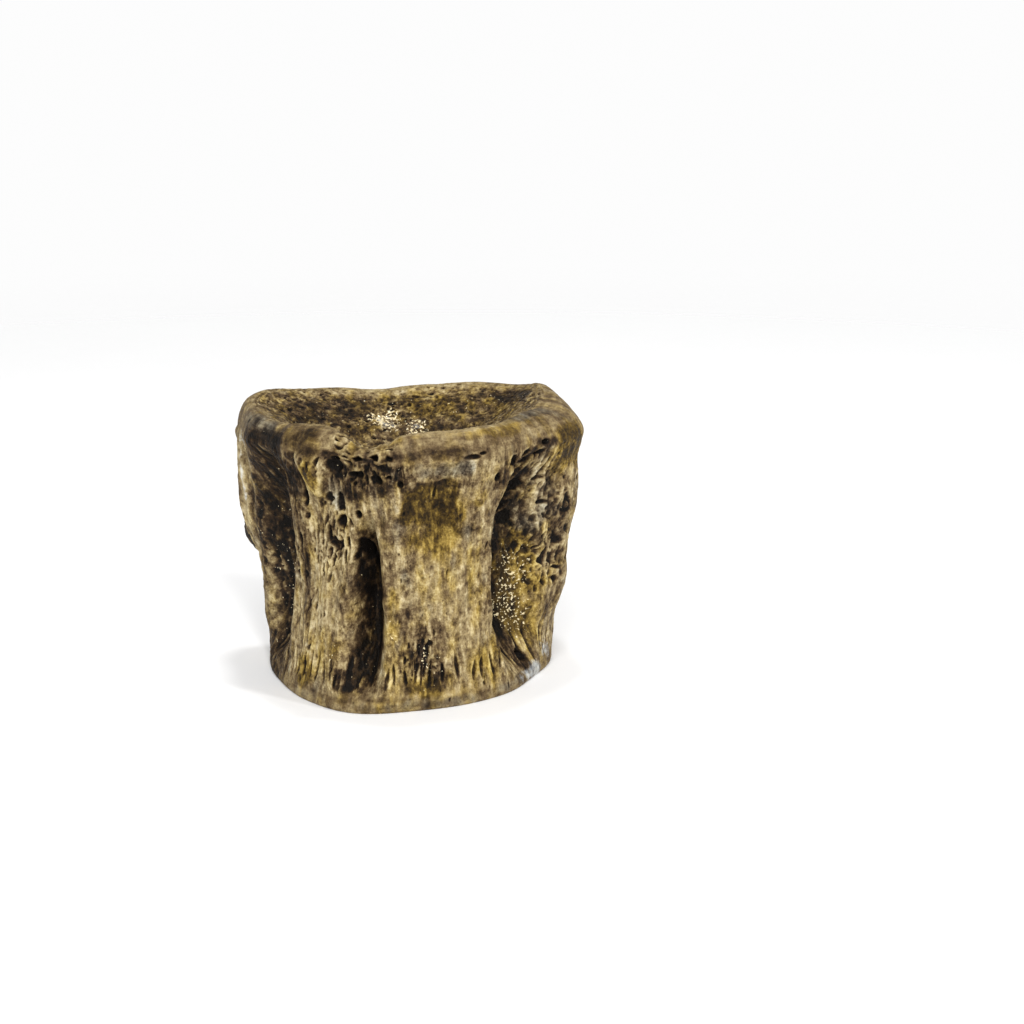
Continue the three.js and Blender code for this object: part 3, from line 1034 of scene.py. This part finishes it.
    def cut_slots(self, skin: Skin) -> None:
        """Cuts the row of upright slots above the foot.

        Args:
            skin: The skin.
        """
        rng = np.random.default_rng(44)
        for place in np.arange(self.strip_angle, self.strip_angle + FULL_TURN, self.slot_step):
            dice = rng.random(6)
            half_height = 0.9 + 1.1 * dice[3]
            along = 1.7 + 0.8 * dice[1] + half_height
            lean = 0.3 * (dice[5] - 0.5)
            half_width = 0.14 + 0.16 * dice[2]
            slot = Pore(place + 1.8 * dice[0], along, half_width, half_height, self.slot_depth, lean)
            chance = 0.9 if -60 < place < -24 else 0.75 if -10 < place < 20 else 0.45
            if dice[4] < chance:
                skin.sink(slot)

    def sculpt(self, skin: Skin) -> dict[str, np.ndarray]:
        """Works the fibres, pores, rims and growth lines into the skin, and paints its stains, its painted
        shade and its painted reflection.

        Args:
            skin: The skin.

        Returns:
            The extra masks and coordinates that the finish reads, by name.
        """
        at = self.places(skin)
        blot = Grain(21).layered(at.x / 2.6, at.y / 2.6, at.z / 4.0)
        self.stain(skin, at, blot)
        self.raise_texture(skin, at)
        self.raise_forms(skin, at)
        self.open_rooms(skin, at, blot)
        skin.lift -= skin.sunk * np.clip(at.stand, 0, 1)
        rim = self.shoulder_height + self.lip_run
        inward = np.maximum(at.ring - rim, -self.foot_width - at.ring)
        hollow = np.clip(at.cup, 0, 1)
        fx, fy, fz = at.grain
        low_wall = (1 - smooth(at.z / 2.6)) * (1 - hollow)
        return {
            "cup": np.broadcast_to(hollow * (0.35 + 0.65 * smooth(inward / 3.0)), at.z.shape),
            "lip": np.clip(at.lip + at.edge + 0.8 * low_wall, 0, 1),
            "sunk": np.clip(skin.sunk / 0.6, 0, 1),
            "tint": skin.tint,
            "recess": np.clip(skin.recess(skin.lift, 4) / 0.10, -1, 1),
            "valley": np.clip(skin.recess(skin.lift, 14) / 0.25, -1, 1),
            "grain_way": np.stack([fx + (at.x - fx) * hollow, fy + (at.y - fy) * hollow, fz / 2.0], -1),
            "ring_way": np.stack([at.x / 4, at.y / 4, np.broadcast_to(at.ring, at.x.shape)], -1),
        }

    def points(self, skin: Skin, out_r: np.ndarray, out_z: np.ndarray) -> np.ndarray:
        """Lifts the skin's points by its relief, and adds the middle of each hollow.

        Args:
            skin: The skin.
            out_r: The outward direction's radial share at each point.
            out_z: Its upright share.

        Returns:
            The points in rows of x, y and z, in millimetres.
        """
        radius = skin.radius + out_r * skin.lift
        z = np.maximum(skin.z + out_z * skin.lift, 0.0)
        radians = np.radians(skin.angle)[None, :]
        points = np.stack([radius * np.sin(radians), -radius * np.cos(radians), z], -1)
        ends = np.array([[0, 0, self.lower_cup_depth], [0, 0, self.height - self.upper_cup_depth]])
        points = np.concatenate([points.reshape(-1, 3), ends])
        points[:, :2] += self.offset
        return points

    def faces(self, rings: int) -> tuple[np.ndarray, np.ndarray]:
        """Joins the rings by quads, and closes both ends with triangles round their middles.

        Args:
            rings: The number of rings.

        Returns:
            The point of each face's corner, and the number of corners of each face.
        """
        columns = self.columns
        number = np.arange(rings * columns).reshape(rings, columns)
        a, b = number[:-1], number[1:]
        quads = np.stack([a, np.roll(a, -1, 1), np.roll(b, -1, 1), b], -1).reshape(-1, 4)
        first, last = number[0], number[-1]
        under = np.stack([np.roll(first, -1), first, np.full(columns, rings * columns)], -1)
        over = np.stack([last, np.roll(last, -1), np.full(columns, rings * columns + 1)], -1)
        corners = np.concatenate([quads.ravel(), under.ravel(), over.ravel()])
        return corners, np.concatenate([np.full(len(quads), 4), np.full(2 * columns, 3)])

    def unwrap(self, mesh: bpy.types.Mesh, rings: int) -> None:
        """Lays the skin out flat for baking, with the columns across and the rings up.

        Args:
            mesh: The mesh.
            rings: The number of rings.
        """
        columns = self.columns
        left, low = np.arange(columns) / columns, np.arange(rings) / (rings - 1)
        right = left + 1 / columns
        u = np.broadcast_to(np.stack([left, right, right, left], -1), (rings - 1, columns, 4))
        v = np.stack([low[:-1], low[:-1], low[1:], low[1:]], -1)[:, None, :] * np.ones((1, columns, 1))
        middle = (left + right) / 2
        ends_u = np.stack([right, left, middle], -1).ravel(), np.stack([left, right, right], -1).ravel()
        ends_v = np.zeros(3 * columns), np.ones(3 * columns)
        flat = np.stack([np.concatenate([u.ravel(), *ends_u]), np.concatenate([v.ravel(), *ends_v])], -1)
        mesh.uv_layers.new(name="OFBake").data.foreach_set("uv", flat.astype(np.float32).ravel())

    def build(self) -> bpy.types.Object:
        """Builds the bone's mesh, with its masks as attributes.

        Returns:
            The bone.
        """
        skin, out_r, out_z = self.skin()
        extras = self.sculpt(skin)
        points = self.points(skin, out_r, out_z)
        corners, sizes = self.faces(len(skin.along))
        mesh = bpy.data.meshes.new("centrum_bone")
        mesh.vertices.add(len(points))
        mesh.vertices.foreach_set("co", (points * MM).astype(np.float32).ravel())
        mesh.loops.add(len(corners))
        mesh.loops.foreach_set("vertex_index", corners.astype(np.int32))
        mesh.polygons.add(len(sizes))
        mesh.polygons.foreach_set("loop_start", (np.cumsum(sizes) - sizes).astype(np.int32))
        mesh.polygons.foreach_set("use_smooth", np.ones(len(sizes), bool))
        mesh.update(calc_edges=True)
        self.unwrap(mesh, len(skin.along))
        masks = {stain.value: np.clip(mask, 0, 1) for stain, mask in skin.masks.items()}
        for name, values in {**masks, **extras}.items():
            self.attribute(mesh, name, values)
        bone = bpy.data.objects.new("bone_centrum", mesh)
        bpy.context.scene.collection.objects.link(bone)
        return bone

    def attribute(self, mesh: bpy.types.Mesh, name: str, values: np.ndarray) -> None:
        """Stores one mask or coordinate on the mesh's points.

        Args:
            mesh: The mesh.
            name: The attribute's name.
            values: One value, or three, for each ring and column.
        """
        vector = values.ndim == 3
        ends = values[[0, -1], 0]
        full = np.concatenate([values.reshape(-1, 3) if vector else values.ravel(), ends])
        kind, key = ("FLOAT_VECTOR", "vector") if vector else ("FLOAT", "value")
        attribute = mesh.attributes.new(name, kind, "POINT")
        attribute.data.foreach_set(key, full.astype(np.float32).ravel())


def tone(red: int, green: int, blue: int) -> tuple[float, float, float, float]:
    """A colour as the shader takes it.

    Args:
        red: Red as a screen shows it, from 0 to 255.
        green: Green, in the same way.
        blue: Blue, in the same way.

    Returns:
        The linear colour, with an alpha of 1.
    """
    shares = (value / 255 for value in (red, green, blue))
    linear = [c / 12.92 if c <= 0.04045 else ((c + 0.055) / 1.055) ** 2.4 for c in shares]
    return (*linear, 1.0)


class Reading:
    """A shader socket's value, on which Python's operators add Math nodes."""

    def __init__(self, bench: "NodeBench", socket: bpy.types.NodeSocket) -> None:
        """Wraps one output socket.

        Args:
            bench: The bench that adds the nodes.
            socket: The socket.
        """
        self.bench = bench
        self.socket = socket

    def math(self, operation: str, first: object, second: object = 0.0) -> "Reading":
        """Adds one Math node.

        Args:
            operation: The node's operation.
            first: Its first value or link.
            second: Its second value or link.

        Returns:
            The node's value.
        """
        return self.bench.node("ShaderNodeMath", {"operation": operation}, {0: first, 1: second})

    def __add__(self, other: object) -> "Reading":
        """This plus other."""
        return self.math("ADD", self, other)

    def __radd__(self, other: object) -> "Reading":
        """Other plus this."""
        return self.math("ADD", other, self)

    def __sub__(self, other: object) -> "Reading":
        """This minus other."""
        return self.math("SUBTRACT", self, other)

    def __rsub__(self, other: object) -> "Reading":
        """Other minus this."""
        return self.math("SUBTRACT", other, self)

    def __mul__(self, other: object) -> "Reading":
        """This times other."""
        return self.math("MULTIPLY", self, other)

    def __rmul__(self, other: object) -> "Reading":
        """Other times this."""
        return self.math("MULTIPLY", other, self)

    def step(self, low: float, high: float) -> "Reading":
        """Eases this from 0 at low to 1 at high."""
        settings = {"interpolation_type": "SMOOTHSTEP"}
        inputs = {"Value": self, "From Min": low, "From Max": high}
        return self.bench.node("ShaderNodeMapRange", settings, inputs, "Result")

    def held(self) -> "Reading":
        """This, held between 0 and 1."""
        return self.bench.node("ShaderNodeClamp", {}, {"Value": self})


class NodeBench:
    """Builds one material's nodes."""

    def __init__(self, name: str) -> None:
        """Starts a material with no nodes.

        Args:
            name: The material's name.
        """
        self.material = bpy.data.materials.new(name)
        self.material.use_nodes = True
        self.tree = self.material.node_tree
        self.tree.nodes.clear()

    def node(self, kind: str, settings: dict, inputs: dict, output: object = 0) -> Reading:
        """Adds one node.

        Args:
            kind: The node's type.
            settings: Its own settings, which are set first.
            inputs: The values or links of its sockets, by name or number.
            output: The name or number of the output that is read.

        Returns:
            That output.
        """
        made = self.tree.nodes.new(kind)
        for key, value in settings.items():
            if key == "stops":
                self.set_stops(made.color_ramp, value)
            else:
                setattr(made, key, value)
        for key, value in inputs.items():
            if isinstance(value, Reading):
                self.tree.links.new(value.socket, made.inputs[key])
            else:
                made.inputs[key].default_value = value
        return Reading(self, made.outputs[output])

    def set_stops(self, ramp: bpy.types.ColorRamp, stops: tuple) -> None:
        """Gives a ramp its stops.

        Args:
            ramp: The ramp.
            stops: A place from 0 to 1 and a colour for each stop.
        """
        while len(ramp.elements) < len(stops):
            ramp.elements.new(0.5)
        for element, (place, colour) in zip(ramp.elements, stops):
            element.position, element.color = place, colour

    def attribute(self, name: str, output: str = "Fac") -> Reading:
        """One of the mesh's own masks or coordinates."""
        return self.node("ShaderNodeAttribute", {"attribute_name": name}, {}, output)

    def scaled(self, vector: Reading, by: tuple[float, float, float]) -> Reading:
        """A vector stretched by one number for each axis."""
        return self.node("ShaderNodeVectorMath", {"operation": "MULTIPLY"}, {0: vector, 1: by})

    def noise(self, vector: Reading, scale: float, detail: float = 3.0, rough: float = 0.55) -> Reading:
        """Noise along a vector, with about scale bumps for each unit, from 0 to 1."""
        inputs = {"Vector": vector, "Scale": scale, "Detail": detail, "Roughness": rough}
        return self.node("ShaderNodeTexNoise", {}, inputs, "Fac")

    def mix(self, factor: object, first: object, second: object) -> Reading:
        """Mixes two colours.

        Args:
            factor: The share of the second.
            first: The first colour.
            second: The second colour.

        Returns:
            The mixed colour.
        """
        return self.node("ShaderNodeMix", {"data_type": "RGBA"}, {0: factor, 6: first, 7: second}, 2)

    def finish(self, inputs: dict) -> bpy.types.Material:
        """Adds the surface's own shader and the output.

        Args:
            inputs: The values or links of the shader's sockets, by name.

        Returns:
            The material.
        """
        shader = self.node("ShaderNodeBsdfPrincipled", {}, inputs, "BSDF")
        out = self.tree.nodes.new("ShaderNodeOutputMaterial")
        self.tree.links.new(shader.socket, out.inputs["Surface"])
        return self.material


class BoneReadings:
    """What the fossil's finish reads at each place: the mesh's own masks, and noises in millimetres."""

    def __init__(self, bench: NodeBench) -> None:
        """Adds the readings.

        Args:
            bench: The bench.
        """
        here = bench.node("ShaderNodeTexCoord", {}, {}, "Object")
        here_mm = bench.scaled(here, (1 / MM, 1 / MM, 1 / MM))
        grain_way = bench.attribute("grain_way", "Vector")
        ring_way = bench.attribute("ring_way", "Vector")
        painted = [stain for stain in Stain if stain not in (Stain.POROUS, Stain.NET)]
        self.masks = {stain: bench.attribute(stain.value) for stain in painted}
        self.cup, self.lip = bench.attribute("cup"), bench.attribute("lip")
        self.recess, self.valley = bench.attribute("recess"), bench.attribute("valley")
        self.sunk, self.tint = bench.attribute("sunk"), bench.attribute("tint")
        self.blotch = bench.noise(here_mm, 0.42, 4.0, 0.6)
        self.mottle = bench.noise(here_mm, 1.3, 4.0, 0.6)
        self.speck = bench.noise(here_mm, 4.0, 3.0, 0.7)
        self.facets = bench.noise(here_mm, 4.0, 1.0, 0.5)
        self.threads = bench.noise(grain_way, 5.0, 3.0, 0.7)
        self.marble = bench.noise(bench.scaled(grain_way, (1.0, 1.0, -1.0)), 0.95, 3.0, 0.5)
        self.gold_drift = bench.noise(bench.scaled(grain_way, (-1.0, 1.0, 1.0)), 0.8, 3.0, 0.5)
        self.grey_drift = bench.noise(bench.scaled(grain_way, (1.0, -1.0, 1.0)), 0.7, 3.0, 0.55)
        fibres = bench.noise(grain_way, 2.2, 3.0, 0.65)
        leaves = bench.noise(ring_way, 1.9, 4.0, 0.6)
        crumbs = bench.noise(here_mm, 2.4, 3.0, 0.75)
        self.streak = fibres + (leaves - fibres) * self.lip + (crumbs - fibres) * self.cup

    def mask(self, stain: Stain) -> Reading:
        """One painted stain's mask."""
        return self.masks[stain]


@dataclass(frozen=True)
class FossilFinish:
    """The finish of the fossil bone: mineral colours, pores darkened by painted shade, painted glints and a
    damp sheen.

    Each family of colours runs from dark to light over the same steps. tones says how much each stain
    lightens or darkens the bone, and wander is what its noises add up to on average. relief_depth is the
    height of the finest relief, in millimetres.
    """

    steps: tuple = (0.0, 0.28, 0.5, 0.74, 1.0)
    bone: tuple = ((12, 8, 5), (50, 36, 21), (98, 80, 54), (150, 132, 94), (196, 180, 142))
    earth: tuple = ((14, 9, 3), (48, 35, 12), (94, 74, 30), (152, 127, 62), (200, 178, 112))
    slate: tuple = ((16, 13, 11), (46, 41, 34), (92, 86, 74), (138, 134, 118), (188, 188, 178))
    # Tones of the painted bluish reflection.
    reflection_tones: tuple = ((30, 30, 32), (92, 98, 104), (150, 160, 168), (198, 206, 210), (228, 232, 232))
    # Pale colour painted on the glint specks: a painted highlight.
    painted_glint: tuple = (240, 222, 176)
    lightness: float = 0.61
    tones: tuple = (
        (Stain.PALE, 0.17),
        (Stain.GREY, -0.09),
        (Stain.OLIVE, -0.27),
        (Stain.DARK, -0.46),
        (Stain.BROWN, -0.16),
    )
    wander: float = 1.75
    dullness: float = 0.62
    gloss: float = 0.12
    relief_depth: float = 0.18

    def ramp(self, bench: NodeBench, share: Reading, colours: tuple) -> Reading:
        """One family of the bone's colours, from its darkest to its lightest.

        Args:
            bench: The bench.
            share: How light the colour is, from 0 to 1.
            colours: The family's colours, as a screen shows them.

        Returns:
            The colour.
        """
        stops = {"stops": tuple((step, tone(*colour)) for step, colour in zip(self.steps, colours))}
        return bench.node("ShaderNodeValToRGB", stops, {"Fac": share}, "Color")

    def shade(self, at: BoneReadings) -> Reading:
        """How light the bone is, from 0 to 1, by its stains, its noises, and painted shade in the recesses,
        valleys and sunk pores of its relief.

        Args:
            at: The readings.

        Returns:
            The lightness.
        """
        value = self.lightness - at.cup * 0.20 - at.lip * 0.04
        for stain, weight in self.tones:
            value = value + at.mask(stain) * weight
        calm = 1 - at.mask(Stain.PALE) * 0.25 - at.lip * 0.35
        grain = at.streak * 0.65 + at.marble + at.mottle * 0.95 + at.speck * 0.55 + at.threads * 0.35
        # Painted shade: darker in the recesses, in the valleys and in the sunk pores and rooms, by their
        # depth.
        hidden = at.recess * 0.18 + at.valley * 0.07 + at.sunk * (0.36 + at.tint * 0.16)
        return value + (grain - self.wander) * calm - hidden

    def colour(self, bench: NodeBench, at: BoneReadings) -> Reading:
        """Mixes the families of colours, and lays the painted bluish reflection over them.

        Args:
            bench: The bench.
            at: The readings.

        Returns:
            The colour.
        """
        share = self.shade(at)
        earthy = at.mask(Stain.OCHRE) * 0.9 + at.mask(Stain.OLIVE) * 1.5 + at.cup * 0.35
        earthy = earthy + (at.blotch - 0.47) * 1.2 + (at.gold_drift - 0.5) * 2.8
        colour = self.ramp(bench, share, self.bone)
        colour = bench.mix(earthy.held(), colour, self.ramp(bench, share, self.earth))
        stony = at.mask(Stain.GREY) * 0.85 + (at.grey_drift - 0.57) * 1.8 - at.mask(Stain.OLIVE) * 0.5
        colour = bench.mix(stony.held(), colour, self.ramp(bench, share, self.slate))
        # Painted reflection: where the blue mask is, a bluish-white reflection of the bright surroundings is
        # painted in.
        reflection_share = (at.mask(Stain.BLUE) + (at.mottle - 0.5) * 1.6).step(0.3, 0.95)
        return bench.mix(reflection_share * 0.6, colour, self.ramp(bench, share + 0.02, self.reflection_tones))

    def material(self) -> bpy.types.Material:
        """Builds the material.

        Returns:
            The material.
        """
        bench = NodeBench("fossil_bone")
        at = BoneReadings(bench)
        # Painted glints: sparse specks in damp places take a pale painted highlight colour, with a clear coat
        # and lower roughness that catch the lamps for real.
        damp = at.mask(Stain.WET) + at.cup * 0.3 + at.mask(Stain.DARK) * 0.2
        glint = (at.facets + (damp - 1) * 0.22).step(0.585, 0.64)
        rough = self.dullness - at.mask(Stain.WET) * 0.2 - at.cup * 0.12
        rough = rough + (at.speck - 0.5) * 0.2 - glint * 0.3
        height = at.speck * 0.8 + at.streak * 0.5 + at.threads * 0.4 + at.facets * 0.9
        bump = {"Strength": 0.85, "Distance": self.relief_depth * MM, "Height": height}
        return bench.finish({
            "Base Color": bench.mix(glint * 0.75, self.colour(bench, at), tone(*self.painted_glint)),
            "Roughness": rough.held(),
            "Specular IOR Level": self.gloss,
            "Coat Weight": glint,
            "Coat Roughness": 0.08,
            "Normal": bench.node("ShaderNodeBump", {}, bump, "Normal"),
        })


@dataclass
class Studio:
    """The pale floor, the soft lights and the camera.

    The floor fades out between fade_start and fade_end, so that it meets the white world without a line. Each
    spark is a small lamp, for the glints on the damp specks, whose pale colour is painted. The world is less
    bright above the horizon.
    """

    floor_reach: float = 0.4
    fade_start: float = 0.08
    fade_end: float = 0.36
    sparks: tuple = (
        ("top_spark", (10, 60, 420)), ("front_spark", (50, -330, 190)), ("side_spark", (300, -180, 240)),
    )
    spark_size: float = 40.0
    spark_power: float = 0.5
    horizon_light: float = 0.98
    upper_light: float = 0.46
    camera_place: tuple[float, float, float] = (0.45, -195.54, 66.0)
    pitch: float = 14.16
    yaw: float = 3.05
    view: float = 30.0
    sensor: float = 36.0

    def floor(self) -> bpy.types.Object:
        """Builds the floor, a round disc.

        Returns:
            The floor.
        """
        count = 96
        around = [math.tau * i / count for i in range(count)]
        mesh = bpy.data.meshes.new("floor")
        points = [(self.floor_reach * math.cos(a), self.floor_reach * math.sin(a), 0.0) for a in around]
        mesh.from_pydata(points, [], [tuple(range(count))])
        floor = bpy.data.objects.new("floor", mesh)
        bpy.context.scene.collection.objects.link(floor)
        bench = NodeBench("pale_floor")
        here = bench.node("ShaderNodeTexCoord", {}, {}, "Object")
        haze = bench.noise(here, 30.0, 4.0, 0.5)
        colour = bench.mix(haze.step(0.3, 0.7) * 0.3, (0.90, 0.90, 0.90, 1.0), (0.86, 0.86, 0.87, 1.0))
        far = bench.node("ShaderNodeVectorMath", {"operation": "LENGTH"}, {0: here}, "Value")
        fade = 1 - far.step(self.fade_start, self.fade_end)
        mesh.materials.append(bench.finish({"Base Color": colour, "Roughness": 0.55, "Alpha": fade}))
        return floor

    def lamp(self, name: str, place: tuple[float, float, float]) -> None:
        """Adds one small square light that faces the bone.

        Args:
            name: The light's name.
            place: Where it hangs, in millimetres.
        """
        light = bpy.data.lights.new(name, "AREA")
        light.size = self.spark_size * MM
        light.energy = self.spark_power
        lamp = bpy.data.objects.new(name, light)
        lamp.location = Vector(place) * MM
        aim = Vector((0, 0, 0.014)) - lamp.location
        lamp.rotation_euler = aim.to_track_quat("-Z", "Y").to_euler()
        bpy.context.scene.collection.objects.link(lamp)

    def sun(self, name: str, way: tuple[float, float, float], strength: float, softness: float) -> None:
        """Adds one far light.

        Args:
            name: The light's name.
            way: The direction that it comes from.
            strength: Its strength, in watts for each square metre.
            softness: How wide it looks, in degrees.
        """
        light = bpy.data.lights.new(name, "SUN")
        light.energy, light.angle = strength, math.radians(softness)
        sun = bpy.data.objects.new(name, light)
        sun.location = way
        sun.rotation_euler = (-Vector(way)).to_track_quat("-Z", "Y").to_euler()
        bpy.context.scene.collection.objects.link(sun)

    def camera(self) -> None:
        """Adds the camera at the photo's place and view."""
        data = bpy.data.cameras.new("camera")
        data.sensor_width = self.sensor
        data.lens = self.sensor / 2 / math.tan(math.radians(self.view / 2))
        data.clip_start, data.clip_end = 0.01, 50.0
        camera = bpy.data.objects.new("camera", data)
        camera.location = Vector(self.camera_place) * MM
        pitch, yaw = math.radians(self.pitch), math.radians(self.yaw)
        ahead = Vector((math.sin(yaw) * math.cos(pitch), math.cos(yaw) * math.cos(pitch), -math.sin(pitch)))
        camera.rotation_euler = ahead.to_track_quat("-Z", "Y").to_euler()
        bpy.context.scene.collection.objects.link(camera)
        bpy.context.scene.camera = camera

    def build(self) -> None:
        """Builds the whole studio."""
        self.camera()
        self.floor()
        self.sun("key_sun", (-0.12, -0.70, 0.70), 1.8, 35.0)
        for name, place in self.sparks:
            self.lamp(name, place)
        self.world()
        bpy.context.scene.view_settings.view_transform = "Standard"

    def world(self) -> None:
        """Adds the white world, which is less bright above the horizon."""
        world = bpy.data.worlds.new("studio")
        bpy.context.scene.world = world
        world.use_nodes = True
        sky = world.node_tree.nodes["Background"]
        sky.inputs["Color"].default_value = (1.0, 1.0, 1.0, 1.0)
        nodes, links = world.node_tree.nodes, world.node_tree.links
        way, split = nodes.new("ShaderNodeTexCoord"), nodes.new("ShaderNodeSeparateXYZ")
        fade = nodes.new("ShaderNodeMapRange")
        fade.inputs["From Min"].default_value, fade.inputs["From Max"].default_value = 0.05, 0.25
        fade.inputs["To Min"].default_value = self.horizon_light
        fade.inputs["To Max"].default_value = self.upper_light
        links.new(way.outputs["Generated"], split.inputs["Vector"])
        links.new(split.outputs["Z"], fade.inputs["Value"])
        links.new(fade.outputs["Result"], sky.inputs["Strength"])


def main() -> None:
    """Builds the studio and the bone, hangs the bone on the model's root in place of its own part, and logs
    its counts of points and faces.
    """
    logging.basicConfig(level=logging.INFO, format="%(message)s")
    Studio().build()
    bone = Centrum().build()
    bone.data.materials.append(FossilFinish().material())
    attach(bone, "root")
    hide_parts("centrum")
    LOG.info("%s: %d points, %d faces", bone.name, len(bone.data.vertices), len(bone.data.polygons))


if __name__ == "__main__":
    main()
